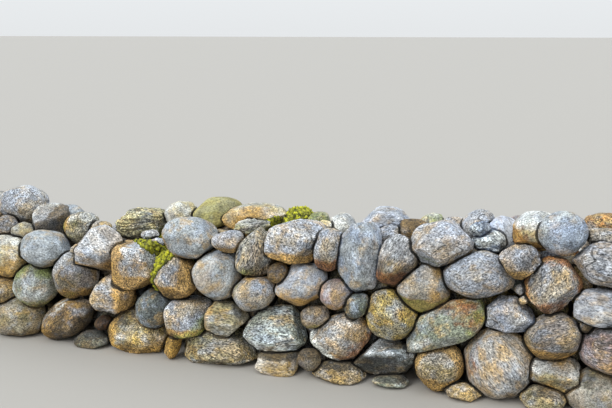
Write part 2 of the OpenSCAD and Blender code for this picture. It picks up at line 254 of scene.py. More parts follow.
def growStone(solid, form, spacing, seed, words, mirrored):  # a boulder's radius in every way of its grid
    draw = np.random.default_rng(seed)
    middle, axes, half = fitAxes(solid)
    size = half.mean()
    n = int(np.clip(round(math.pi * size / 2 / spacing), *shaping["gridSteps"]))
    grid = ballGrid(n)
    ways = (grid["ways"] * half) @ axes.T
    normals, room = solid["normals"], solid["reach"] - solid["normals"] @ middle
    turn, lie = shaping["samePlane"]
    same = (normals @ normals.T > turn) & (np.abs(room[:, None] - room[None, :]) < lie)
    share = (same * solid["areas"][None, :]).sum(1) / solid["areas"].sum()
    broad = share > form["crisp"]
    radius = np.minimum(cast(normals[~broad], room[~broad], ways), shaping["tallest"])
    step = 90 / n
    radius = evened(radius, grid, int(round(form["soften"] ** 2 / (shaping["evenShare"] / 2 * step ** 2))))
    swell = math.prod(strengths(words, "swell"))
    radius *= swell * shaping["packingSwell" if form is forms["packing"] else "swell"]
    places = grid["ways"] * half
    mm = 0.001 / size
    radius += form["lumps"] * mm * ripples(places, shaping["lumpWave"], draw)
    reach = np.abs(ways * radius[:, None])
    reach /= reach.max(0)
    corner = np.linalg.norm(reach, axis=1) / np.linalg.norm(reach, ord=4, axis=1) - 1  # most at corners
    radius *= 1 + corner * sum(strengths(words, "blocky"))
    for _ in range(form["chips"]):
        way = draw.normal(size=3)
        way /= np.linalg.norm(way)
        far = draw.uniform(*form["chipAt"])
        radius = cutFlat(radius, grid["ways"] @ way, far, shaping["chipFacing"], form["edge"])
    sameWay = np.round(normals[broad] * shaping["sameCut"] + 0.5)
    for k in np.unique(sameWay, axis=0, return_index=True)[1]:
        far = room[broad][k] * swell
        radius = cutFlat(radius, ways @ normals[broad][k], far, shaping["broadFacing"], form["edge"])
    for what, facing, kept in words:
        if what == "flat":
            along = ways @ wayOf(facing, mirrored)
            far = (radius * along).max()
            radius = cutFlat(radius, along, kept * far, shaping["flatFacing"] * far, form["edge"])
    dents = np.abs(ripples(places, shaping["dentWave"], draw))  # creases where the field is near nothing
    radius += form["dents"] * mm * (dents - shaping["dentLevel"])
    radius += form["knobs"] * mm * ripples(places, shaping["knobWave"], draw)
    if form["ledges"]:
        wander = shaping["ledgeWander"] * ripples(places, shaping["lumpWave"], draw)
        level = places[:, 2] / shaping["ledgePitch"] + wander
        radius += form["ledges"] * mm * (np.abs((level % 1) - 0.5) * 2 - 0.5)
    return {"middle": middle, "axes": axes, "half": half, "grid": grid, "radius": radius, "seed": seed,
            "words": words, "mirrored": mirrored, "joint": np.zeros(len(radius))}


def outside(stone):  # the boulder's points in the frame of the wall
    reach = stone["grid"]["ways"] * stone["radius"][:, None] * stone["half"]
    return stone["middle"] + reach @ stone["axes"].T


def radiusAt(stone, ways):  # the boulder's radius along any ways, read off its grid
    rows = np.arange(len(ways))
    axis = np.abs(ways).argmax(1)
    lead = ways[rows, axis]
    n = stone["grid"]["n"]
    spot = []
    for k in (1, 2):
        t = np.arctan(ways[rows, (axis + k) % 3] / np.abs(lead)) * 4 / math.pi
        spot.append(np.clip((t + 1) / 2 * n, 0, n - 1e-6))
    i, j = spot[0].astype(int), spot[1].astype(int)
    u, v = spot[0] - i, spot[1] - j
    sheet = 2 * axis + (lead > 0)
    table, radius = stone["grid"]["table"], stone["radius"]
    near = radius[table[sheet, i, j]] * (1 - u) + radius[table[sheet, i + 1, j]] * u
    far = radius[table[sheet, i, j + 1]] * (1 - u) + radius[table[sheet, i + 1, j + 1]] * u
    return near * (1 - v) + far * v


def settle(stones):  # where two boulders would share space, both give way to halfway
    middles = np.array([s["middle"] for s in stones])
    sizes = np.array([s["half"][0] * s["radius"].max() for s in stones])
    gaps = np.linalg.norm(middles[:, None] - middles[None], axis=2)
    pairs = np.argwhere(gaps < sizes[:, None] + sizes[None])
    pairs = [(a, b) for a, b in pairs if a != b]
    for _ in range(shaping["settleRounds"]):
        points = [outside(s) for s in stones]
        give = [np.zeros(len(p)) for p in points]
        for a, b in pairs:
            other = stones[b]
            away = points[a] - other["middle"]
            close = np.linalg.norm(away, axis=1) < sizes[b] + shaping["jointReach"]
            if not close.any():
                continue
            local = (away[close] @ other["axes"]) / other["half"]
            r = np.linalg.norm(local, axis=1)
            depth = (radiusAt(other, local / r[:, None]) - r) / r * np.linalg.norm(away[close], axis=1)
            # how near the next boulder is, where soil and painted shade will darken the joint
            near = smooth(-shaping["joint"], 0, depth)
            stones[a]["joint"][close] = np.maximum(stones[a]["joint"][close], near)
            part = (1 + stones[a]["yields"] - other["yields"]) / 2
            push = np.maximum(0, (depth + shaping["gap"]) * part)
            give[a][close] = np.maximum(give[a][close], push)
        for s, p, g in zip(stones, points, give):
            far = np.linalg.norm(p - s["middle"], axis=1)
            s["radius"] = s["radius"] * np.maximum(shaping["least"], 1 - g / far)


# The rocks. Patches, bands and crystals are sizes in mm, pits and grit depths in mm. Dark and pale are the
# shares of such crystals. Fleck, cloud and dust say how far the light departs from the ground colour, and
# tints how strongly warm and cool minerals show. Crystals of 1 to 4 mm are too fine for the picture, so they
# are drawn at about 5 mm.
broken = dict(  # a rock broken by frost: rough and dusty
    form="field", patchMm=56, bandMm=0, crystalMm=5, dark=0.24, pale=0.24, fleck=0.56, cloud=0.38,
    dust=0.95, tints=0.52, pitMm=6.5, gritMm=3.8, cracks=0.4, roughness=0.86,
)
rounded = dict(  # a rock rounded by ice or water: smoother and finer
    form="worn", patchMm=55, bandMm=0, bandShare=0.2, crystalMm=5, dark=0.22, pale=0.22,
    fleck=0.43, cloud=0.34, dust=0.83, tints=0.52, pitMm=4.5, gritMm=2.5, cracks=0.3, roughness=0.84,
)
rocks = {
    # grey granite off the field: an even salt and pepper grain, quite matt
    "greyGranite": dict(broken, ground="#94989e", second="#a09684", patchMm=62, dark=0.26, pale=0.26,
        fleck=0.6, cloud=0.34, cracks=0.5),
    # frost-scoured pale granite: light feldspar with scattered black mica
    "paleGranite": dict(broken, ground="#a2a6ad", second="#a6a5a2", patchMm=80, dark=0.2, pale=0.26,
        fleck=0.52, cloud=0.3, pitMm=5.9, cracks=0.7, roughness=0.84),
    # water-worn blue-grey gneiss: fine, dense and smooth, with faint bands
    "blueGreyGneiss": dict(rounded, ground="#9a9fa0", second="#8a8e8c", patchMm=70, bandMm=34, dark=0.16,
        pale=0.2, fleck=0.3, cloud=0.27, dust=0.62, pitMm=3.2, gritMm=1.9, roughness=0.80),
    # water-worn dark dolerite: almost black-blue, very fine, slightly satin
    "darkDolerite": dict(rounded, ground="#5f6562", second="#51554f", patchMm=60, dark=0.25, pale=0.2,
        fleck=0.52, cloud=0.43, dust=0.76, pitMm=3.9, cracks=0.2, roughness=0.78),
    # frost-split diorite: coarse black and white flecks on green-grey
    "fleckedDiorite": dict(broken, form="split", ground="#8f9690", second="#7f8275", patchMm=70,
        crystalMm=6, dark=0.36, pale=0.26, fleck=0.7, cloud=0.32, dust=0.9, pitMm=7.8, gritMm=4.4,
        cracks=0.5),
    # field-worn speckled gneiss: drab brown-grey, full of small white feldspar eyes
    "speckledGneiss": dict(broken, ground="#79766a", second="#88867c", patchMm=60, crystalMm=5.5, dark=0.3,
        fleck=0.73, cloud=0.4, dust=0.83, cracks=0.3),
    # field-worn ochre granite: feldspar stained through by iron
    "ochreGranite": dict(broken, ground="#988446", second="#8b846a", patchMm=52),
    # buff granite off the field: pinkish ochre and dusty
    "buffGranite": dict(broken, ground="#a8905f", second="#95856a", patchMm=46, dark=0.22, fleck=0.52,
        pitMm=5.9, cracks=0.3, roughness=0.88),
    # water-worn rusty gneiss: brown bands, where iron has weathered out
    "rustyGneiss": dict(rounded, ground="#7b6240", second="#63543c", patchMm=50, bandMm=26, bandShare=0.4,
        dark=0.24, pale=0.16, cloud=0.44, dust=0.76, pitMm=3.9, cracks=0.4),
    # ice-rounded pink granite: rose feldspar among grey quartz
    "pinkGranite": dict(rounded, ground="#9a827a", second="#8a7d72", bandMm=40, dark=0.2, pale=0.24,
        fleck=0.47, cloud=0.3, cracks=0.4, roughness=0.85),
    # ice-rounded mixed granite: grey, pink and ochre patches side by side
    "mottledGranite": dict(rounded, ground="#959189", second="#a08d72", patchMm=24, dark=0.2, pale=0.24,
        fleck=0.47, cloud=0.3, cracks=0.2, roughness=0.86),
    # field-worn olive gneiss: drab grey-green-brown and sandy to the touch
    "oliveGneiss": dict(broken, ground="#857d5c", second="#8d8672", pale=0.22, cracks=0.5, roughness=0.88),
    # river-rolled olive sandstone: even tan, hardly any grain
    "tanSandstone": dict(rounded, ground="#99935c", second="#8b8455", patchMm=90, dark=0.2, pale=0.2,
        fleck=0.17, cloud=0.21, dust=0.55, tints=0.15, pitMm=2.6, gritMm=1.9, cracks=0.2, roughness=0.90),
    # sun-bleached quartzite: cream, with a sugary grain
    "creamQuartzite": dict(broken, ground="#bcac7e", second="#bab7a6", patchMm=55, bandMm=30,
        bandShare=0.15, dark=0.14, pale=0.26, fleck=0.35, cloud=0.3, dust=0.76, pitMm=5.2, gritMm=2.5,
        roughness=0.84),
    # weathered schist: thin leaves of mica and clay, with ledges along the bands
    "bandedSchist": dict(broken, form="layered", ground="#97936f", second="#7d7658", patchMm=60, bandMm=13,
        bandShare=0.85, dark=0.26, cloud=0.51, tints=0.28, pitMm=7.8, cracks=0.6),
    # green-grey gneiss from damp ground
    "greenGreyGneiss": dict(rounded, ground="#7d8370", second="#93968e"),
    # umber gneiss: brown-grey with a plum cast
    "plumGneiss": dict(rounded, ground="#867e76", second="#8a806a", bandMm=36),
}

# What weather leaves on a rock, with painted shade and light laid on the same way: its colour, how much it
# hides, and which ragged noise breaks its edge.
weather = {
    "pale": dict(colour="#c1c5c7", cover=0.55, ragged=("stains", "Red")),  # scoured or dusty, and painted light on tops that face the sky and on some feet
    "ochre": dict(colour="#a37e38", cover=0.85, ragged=("stains", "Green")),  # iron stain
    "rust": dict(colour="#84501f", cover=0.82, ragged=("specks", "Red")),  # deep iron crust
    "green": dict(colour="#737d34", cover=0.76, ragged=("stains", "Blue")),  # film of algae
    "dark": dict(colour="#2c2a24", cover=0.76, ragged=("specks", "Green")),  # a darker, soot-dark colour, and painted shade where neighbours overhang a boulder and deep in the heart
    "lichen": dict(colour="#ced2cb", cover=0.88, ragged=("specks", "Blue")),  # crust lichen
    "soilAndShade": dict(colour="#1e1a11", cover=0.90, ragged=("specks", "Red")),  # damp earth and painted shade in the joints and on the undersides
    "loam": dict(colour="#9c8050", cover=0.46, ragged=("stains", "Red")),  # brown dust, washed in
    "slate": dict(colour="#8296b4", cover=0.40, ragged=("stains", "Blue")),  # blue-grey lichen film
    "moss": dict(colour="#5e5d1c", cover=0.95, ragged=("specks", "Green")),  # between its cushions
}
footSoilAndShade = 0.40  # how much soil and painted shade darken the foot of every boulder, where rain splashes earth and the underside lies in shade
# How far weather spreads from the side that is named: it starts at the first number and is full at the
# second, where -1 is the far side of a boulder and 1 is the side itself.
spreads = {"side": (-0.25, 0.75), "rim": (0.5, 1.0), "soilAndShade": (0.1, -0.9), "mossEdge": 0.12}
minerals = {"Red": "#b08e4e", "Blue": "#8c97a4"}  # warm feldspar and cool quartz, by their noise

# Boulders by their part of the wall: cm along and up to the middle, rock, and form where it isn't the rock's
# own. Then what it shows, to which sides, and how much of it in percent, with no side where it is all over.
# A flat is a broken face that leaves this much of the boulder's reach to that side, blocky fills its
# corners, and swell, contrast and tone are in percent of the usual.
# Dark and pale to a side also paint shade and light, as dark tops under overhanging neighbours and pale tops
# that face the sky; a low tone darkens some boulders that lie in shade.
boulders = {}
boulders["foot_left"] = [
    (-156, 11, "oliveGneiss worn", "pale top 40, loam 42, dark foot 50, contrast 75, tone 112"),
    (-124, 12, "rustyGneiss", "lichen left top 42, ochre left 50, loam 40, dark right foot 70 foot 35, "
     "contrast 120, tone 96"),
    (-105, 4, "greenGreyGneiss", "flat top face 86, loam 41, dark left 60 top 60, contrast 120, tone 55"),
    (-98, 13, "rustyGneiss", "rust 45, tone 26"),
    (-77, 10, "ochreGranite", "flat top face 86 left face 88 right face 88, swell 107, pale foot 30, "
     "ochre foot 50 left 60, loam 45, dark top 55, contrast 115, tone 127"),
]
boulders["foot_middle"] = [
    (-52, 7, "ochreGranite", "ochre 80, tone 95"),
    (-28, 8, "oliveGneiss split", "flat top face 84 top right 84 right face 90, loam 42, dark foot 30, "
     "contrast 123, tone 104"),
    (7, 6, "buffGranite", "flat top face 82 top 86, blocky 40, pale face 40, dark top 65, contrast 70, "
     "tone 117"),
    (25, 9, "plumGneiss field", "loam 43, dark top 55, contrast 120, tone 60"),
    (40, 5, "buffGranite", "flat top face 82, lichen right 30, dark top 75, contrast 115, tone 84"),
]
boulders["foot_right"] = [
    (63, 13, "darkDolerite split", "flat face face foot 66 top 84 left top 78, pale top 50, "
     "dark face foot 100, contrast 125, tone 118"),
    (66, 3, "greenGreyGneiss", "dark top 100, contrast 120, tone 115"),
    (90, 12, "oliveGneiss worn", "flat top face 84 left foot 86 right foot 86, pale top 55, "
     "ochre rim 70 foot 90, loam 41, contrast 115, tone 103"),
    (102, 4, "buffGranite", "ochre 35, tone 120"),
    (118, 17, "mottledGranite", "pale face 20 foot 35, ochre rim 30, rust left 34, tone 108"),
    (145, 16, "oliveGneiss split", "flat top top face 62 face face foot 70 right 84 left face 84, "
     "swell 116, blocky 40, pale top 85, ochre foot 50 top 42, loam 40, dark face face foot 30, "
     "contrast 75, tone 115"),
    (139, 5, "oliveGneiss worn", "ochre top 30, loam 45, dark top 50, contrast 115, tone 128"),
    (163, 10, "oliveGneiss worn", "pale face 50, loam 42, dark top 50, contrast 60, tone 106"),
]
boulders["second_left"] = [
    (-168, 25, "buffGranite worn", "flat top face 86, ochre top 40"),
    (-144, 29, "greenGreyGneiss", "pale face 40, ochre foot 45, green top 50 foot 50, tone 106"),
    (-118, 37, "plumGneiss", "pale top left 50, ochre foot 60, green foot 40, contrast 125, tone 79"),
    (-93, 30, "greyGranite split", "flat face 87 foot 88 left top 84 right top 85, ochre right 60 rim 42, "
     "contrast 85, tone 132"),
    (-67, 25, "darkDolerite", "contrast 110, tone 90"),
]
boulders["second_middle"] = [
    (-47, 22, "greyGranite field", "flat left 84 top 82 foot 82 right 86, swell 110, blocky 60, "
     "pale top 30, ochre foot 80, green right foot 60, dark foot 40, contrast 107, tone 110"),
    (-24, 24, "oliveGneiss split", "flat top face 72 right top 78 face face foot 80 right foot 78 left 86, "
     "pale face 35, ochre left 40, contrast 75, tone 122"),
    (3, 20, "fleckedDiorite", "flat right right top 78 foot face 92 top face 94 left 84 left foot 90, "
     "swell 104, pale face 40, contrast 95, tone 130"),
    (26, 31, "plumGneiss field", "pale top 30, green foot 40, loam 50, dark foot 30, contrast 120, tone 88"),
    (39, 21, "mottledGranite field", "flat top face left 88 right face 85, pale top 35, "
     "lichen left foot 55, ochre top 35, rust right foot 50, contrast 130, tone 115"),
]
boulders["second_right"] = [
    (93, 34, "greenGreyGneiss field", "flat top face face 87 left left foot 88 right right top 88, "
     "pale face 30 top 30, ochre top 35 foot 30, rust right top 45, green right 45, dark foot 20, "
     "contrast 118"),
    (141, 34, "plumGneiss", "pale top 30, ochre foot 80, rust foot 35, loam 25, contrast 130, tone 90"),
    (167, 30, "pinkGranite", "dark top 50, contrast 125, tone 96"),
]
boulders["third_left"] = [
    (-165, 45, "creamQuartzite", "flat top face 82 face 87, blocky 40, pale top 45, "
     "ochre foot 60 right 40, tone 104"),
    (-138, 51, "blueGreyGneiss", "contrast 110"),
    (-101, 53, "paleGranite split", "flat top top face right 80 left top 90 right 90 foot foot face 74, "
     "swell 110, blocky 50, pale top 100, ochre foot 60, loam 40, dark foot 20, contrast 90, tone 99"),
    (-78, 46, "greyGranite field", "flat top 78 face 82 left 78 right 84 foot 84, swell 114, blocky 70, "
     "pale top 60, ochre left 60 foot 75 face 30, moss top top right rear 30, tone 108"),
]
boulders["third_middle"] = [
    (-55, 43, "greyGranite field", "flat right top face face 82 foot face 84, ochre foot 100 right 70, "
     "loam 43, moss left left left top top rear rear 86"),
    (-30, 46, "blueGreyGneiss worn", "ochre foot 25, loam 39, tone 125"),
    (-8, 39, "greyGranite worn", "ochre rim 45, green left 35, contrast 75, tone 116"),
    (6, 52, "rustyGneiss", "loam 44, contrast 120, tone 77"),
    (17, 46, "greyGranite worn", "ochre foot 60, contrast 45, tone 136"),
    (37, 43, "pinkGranite", "ochre foot 50, slate 42, contrast 80, tone 120"),
    (48, 39, "darkDolerite field", "green right 30, contrast 120, tone 110"),
]
boulders["third_right"] = [
    (65, 36, "ochreGranite worn", "green foot 20, dark foot 40, contrast 120, tone 106"),
    (80, 51, "blueGreyGneiss", "flat top face 86 face face foot 85, pale top 35, ochre foot 80 right 50, "
     "green foot 95, loam 43, contrast 125"),
    (105, 60, "greyGranite worn", "ochre foot 20, contrast 85"),
    (123, 42, "paleGranite split", "flat foot 84 left top 82 right top 78 face 87, blocky 30, slate 43, "
     "contrast 90, tone 105"),
    (140, 58, "greyGranite field", "flat face face top 88 right foot face 86, ochre 24 rim 50, "
     "rust rim 55 foot 50"),
    (164, 49, "paleGranite split", "flat foot 86 face top 82 left 86, ochre foot 30, contrast 60, tone 108"),
]
boulders["upper_middle"] = [
    (-46, 64, "blueGreyGneiss", "flat top right 86 foot right 86 face 90, ochre left foot 45, contrast 125"),
    (-23, 65, "paleGranite worn", "flat foot face 84, ochre foot 70, loam 43, tone 105"),
    (-9, 60, "speckledGneiss field", "flat left top 78 right top 86 right face foot 87, green foot 30, "
     "loam 43, dark foot 30, contrast 115, tone 120"),
    (13, 67, "greyGranite field", "flat left 86 right 88 foot 82 top 84 top face 90, swell 110, blocky 70, "
     "pale top 40, ochre foot 55, tone 110"),
    (32, 65, "greyGranite worn", "rust foot 70"),
    (48, 63, "blueGreyGneiss split", "flat face face left 83 right face 82 right top 82 left top 85, "
     "pale right 50, ochre right 30, slate 40, contrast 115, tone 105"),
]
boulders["upper_right"] = [
    (67, 62, "plumGneiss field", "flat top face 83 right face foot 86, pale top 75, ochre 30 right 40, "
     "rust foot 85 face 20, contrast 125, tone 67"),
    (88, 72, "paleGranite split", "flat face top 86 right face foot 82, blocky 40, ochre left 35, "
     "green foot 35, loam 40, contrast 88, tone 102"),
    (125, 68, "greyGranite split", "flat left foot 80 right foot 80, blocky 30, ochre foot 60, loam 42, "
     "contrast 107, tone 91"),
    (161, 71, "paleGranite split", "flat left top 81 left foot 81 face top 85, ochre foot 35, loam 41, "
     "tone 83"),
]
boulders["wedges"] = [
    (-116, 53, "greyGranite", "ochre top 40, tone 117"),
    (-77, 61, "paleGranite", "tone 110"),
    (-71, 57, "paleGranite", "ochre foot 40, tone 150"),
    (126, 54, "greyGranite", "tone 67"),
    (128, 50, "buffGranite", "loam 30, tone 128"),
    (156, 40, "rustyGneiss", "ochre 35, tone 70"),
]
boulders["top_left"] = [
    (-171, 59, "greyGranite field", "ochre top 30, loam 42, tone 76"),
    (-170, 69, "greyGranite worn", "pale top 40, tone 106"),
    (-157, 58, "creamQuartzite", "pale top 30, tone 75"),
    (-150, 60, "blueGreyGneiss", ""),
    (-146, 62, "plumGneiss split", "flat right face 76 left face 84 top top face 70, swell 110, "
     "pale top top left 100, lichen top left 40, loam 41, dark right 100 right foot face 100, "
     "contrast 115, tone 86"),
    (-125, 60, "oliveGneiss worn", "pale top 40, ochre left 60, green left 50 face 30, contrast 125"),
    (-111, 60, "buffGranite", "ochre 35, tone 106"),
    (-92, 63, "bandedSchist", "flat left top 80 face 86, contrast 135, tone 133"),
    (-68, 68, "creamQuartzite", "pale face 50, dark foot 30, tone 103"),
]
boulders["top_middle"] = [
    (-47, 70, "tanSandstone", ""),
    (-20, 71, "creamQuartzite", "flat top face 86, ochre foot 60 left 50 face 50 top 25, "
     "moss right foot face 38, contrast 112"),
    (-16, 69, "bandedSchist", "pale top 55, ochre foot 75 face 30, loam 43, tone 108"),
    (4, 70, "oliveGneiss", "green 70, moss 80"),
    (17, 70, "plumGneiss", "green 50, tone 108"),
    (23, 71, "creamQuartzite", "tone 150"),
    (30, 70, "creamQuartzite", "pale 70"),
    (53, 72, "paleGranite field", "flat left top 82 right top 85, pale top 30, slate 45, contrast 75, "
     "tone 108"),
]
boulders["top_right"] = [
    (59, 69, "greyGranite field", "tone 106"),
    (72, 72, "rustyGneiss field", "flat top 84, pale top 100, ochre 52, rust foot 50, loam 42, "
     "contrast 120, tone 45"),
    (77, 73, "creamQuartzite", "pale 40, green 40, tone 110"),
    (89, 72, "paleGranite field", "tone 114"),
    (102, 74, "paleGranite worn", ""),
    (104, 78, "darkDolerite split", "lichen 42, slate 50, dark 60, contrast 140, tone 114"),
    (109, 72, "darkDolerite split", "lichen 46, slate 46, dark 50, contrast 125, tone 110"),
    (116, 73, "paleGranite field", "slate 40, contrast 45, tone 138"),
    (130, 79, "creamQuartzite worn", "flat left top 85 foot face 85, blocky 70, pale top 80, "
     "lichen top 35, ochre foot 90 foot left 80, rust foot face left 40"),
    (144, 81, "blueGreyGneiss", "lichen top left 42 right 34, ochre foot 42, slate 46, dark right face 34, "
     "contrast 135, tone 89"),
    (162, 78, "greyGranite field", "contrast 125, tone 88"),
    (162, 79, "buffGranite field", "ochre 35, rust 42, contrast 125, tone 93"),
]
boulders["upper_run"] = [
    (-160, 58, "greyGranite", "ochre foot 40"),
    (-40, 61, "mottledGranite", ""),
    (-14, 61, "oliveGneiss", "pale top 40"),
    (12, 63, "paleGranite", ""),
    (40, 58, "blueGreyGneiss", "ochre foot 40"),
    (66, 60, "ochreGranite", ""),
    (88, 68, "greyGranite", "green foot 40"),
    (122, 72, "pinkGranite", ""),
    (166, 68, "paleGranite", "ochre foot 40"),
]
boulders["end_left"] = [
    (-190, 9, "greyGranite", "ochre foot 40"),
    (-194, 31, "ochreGranite", ""),
    (-193, 51, "blueGreyGneiss", ""),
    (-194, 65, "oliveGneiss", "pale top 40"),
    (-191, 66, "greyGranite", "ochre foot 50"),
]
boulders["end_right"] = [
    (191, 10, "oliveGneiss", "ochre foot 40"),
    (194, 32, "paleGranite", ""),
    (194, 49, "mottledGranite", ""),
    (191, 66, "greyGranite", "ochre foot 40"),
    (186, 80, "blueGreyGneiss", "lichen top 40"),
]

# Point spacing in mm on the front, by the rows that each node shows. What is seen less gets fewer points.
frontSpacing = {
    "foot_left": 9, "foot_middle": 8, "foot_right": 9, "second_left": 9, "second_middle": 8,
    "second_right": 9, "third_left": 9, "third_middle": 8.5, "third_right": 9, "upper_middle": 8.5,
    "upper_right": 8.5, "wedges": 5,
}
topSpacing = {"left": 9, "middle": 9, "right": 8}
backRows = [name for name in frontSpacing if name.split("_")[0] in ("foot", "second", "third")]
pieceRows = {  # the frame's node, then its rows and its spacing
    **{f"front_{name}": (name, spacing) for name, spacing in frontSpacing.items()},
    **{f"cope_{part}": (f"top_{part}", spacing) for part, spacing in topSpacing.items()},
    **{f"back_{name}": (name, 12) for name in [*backRows, "upper_run"]},
    **{f"hearting_{part}": ("", 20) for part in topSpacing},
    **{f"wall_end_{part}": (f"end_{part}", 11) for part in ("left", "right")},
}
# The heart's stones have no rows: their place picks their rock, and the lower they lie the darker they are
# painted, as painted shade deep in the wall.
heart = {
    "rocks": ["greyGranite", "oliveGneiss", "plumGneiss", "ochreGranite", "darkDolerite", "buffGranite"],
    "dark": 0.52, "tone": 0.72, "byCm": 0.004,
}


def chosenRows(name, solids):  # each loose solid's row: the nearest one that no other solid has taken
    spots = np.array([(s["corners"].min(0) + s["corners"].max(0))[[0, 2]] / 2 * 100 for s in solids])
    if not name:
        rows = []
        for x, z in spots:
            rock = heart["rocks"][int(abs(x * 3 + z * 7)) % len(heart["rocks"])]
            # painted shade: the lower a heart stone lies, the more dark film and the lower its tone
            damp, tone = heart["dark"] - heart["byCm"] * z, heart["tone"] + heart["byCm"] * z
            rows.append((x, z, rock + " packing", f"dark {100 * damp:.0f}, tone {100 * tone:.0f}"))
        return rows
    rows = boulders[name] * (2 if name.startswith("end") else 1)  # an end shows its rows on both faces
    far = np.array([[math.hypot(x - r[0], z - r[1]) for r in rows] for x, z in spots])
    chosen = [None] * len(solids)
    for k in np.argsort(far, axis=None, kind="stable"):
        i, j = divmod(int(k), len(rows))
        if chosen[i] is None and rows[j] is not None:
            chosen[i] = rows[j]
            rows = rows[:j] + [None] + rows[j + 1:]
    return chosen


def weatherMasks(stone, points):  # how strongly each kind of weathering, painted shade and painted light takes at each point, from 0 to 1
    low, high = points.min(0), points.max(0)
    spot = (points - (low + high) / 2) / ((high - low) / 2)
    masks = {name: np.zeros(len(points)) for name in weather}
    for what, places, strength in stone["words"]:
        if what not in weather:
            continue
        if not places:
            value = strength
        elif places == ["rim"]:
            value = smooth(*spreads["rim"], np.hypot(spot[:, 0], spot[:, 2])) * strength
        else:
            toward = spot @ wayOf(places, stone["mirrored"])
            value = smooth(*spreads["side"], toward) * strength
            if what == "moss":  # a clear edge, and the strength says how far over the boulder it comes
                value = smooth(1 - strength, 1 + spreads["mossEdge"] - strength, toward)
        masks[what] = np.maximum(masks[what], value)
    # painted shade and soil: darker in the joints and towards each boulder's foot
    masks["soilAndShade"] = np.maximum(stone["joint"], footSoilAndShade * smooth(*spreads["soilAndShade"], spot[:, 2]))
    return masks


grown = {}
for node, (name, spacing) in pieceRows.items():
    solids = stonePlanes(node)
    grown[node] = []
    for solid, (x, z, rock, text) in zip(solids, chosenRows(name, solids)):
        rock, *form = rock.split()
        form = form[0] if form else rocks[rock]["form"]
        seed = int(abs(x * 91 + z * 17)) + 1000 * sorted(pieceRows).index(node)  # each place has its own
        behind = node.startswith("back")
        if node.startswith("wall_end"):
            behind = solid["corners"][:, 1].mean() > 0
        stone = growStone(solid, forms[form], spacing / 1000, seed, readWords(text), behind)
        stone.update(rock=rock, yields=int(form == "packing"))
        grown[node].append(stone)
print("boulders grown:", sum(len(g) for g in grown.values()))
settle([s for g in grown.values() for s in g])
print("boulders settled")


# Rock surfaces. Every pattern follows the boulder's own grain, so no two boulders show the same.
# Each noise: how broad its largest swirls are in mm, how many finer sizes it has, and how rough they are.
swirls = {
    "tints": (34, 3.0, 0.62), "stains": (60, 4.0, 0.64), "specks": (22, 6.0, 0.7), "clouds": (42, 5.0, 0.7),
    "dust": (3.5, 2.0, 0.8), "pits": (13, 6.0, 0.72), "wander": (190, 3.0, 0.5),
}
pocks = {"pitchMm": 34, "radiusMm": 5, "share": 0.5, "depth": 0.55}  # painted shade of holes where a soft grain fell out
leaves = {  # the dark leaves of a banded rock, drawn out along the boulder
    "colour": "#3c3a36", "scale": (0.18, 0.3, 1.0), "turn": (0.12, 0.2, 0), "detail": 3.0, "rough": 0.65,
    "warp": 0.4,
}
# Where each pattern of a rock starts and where it is full, on its noise.
starts = {
    "second": (0.42, 0.60), "leaves": (0.44, 0.66), "tints": (0.47, 0.66), "film": (0.82, 1.06),
    "shade": (0.3, 0.7), "pock": (-0.02, 0.03), "cracked": (0.42, 0.46),
}
patchNoise = (4.0, 0.6)  # how many finer sizes the patches have, and how rough they are
crackWidth = 0.0035  # on its noise
crystalEdge = 0.6  # the nearer to 1, the more crystals are as dark or as pale as they get
gritShare = 0.4  # how much of the grit stands in whole crystals
mineralIor = 1.54  # quartz and feldspar


def bareMaterial(name):  # a new material with no nodes yet
    material = bpy.data.materials.new(name)
    material.use_nodes = True
    material.node_tree.nodes.clear()
    return material


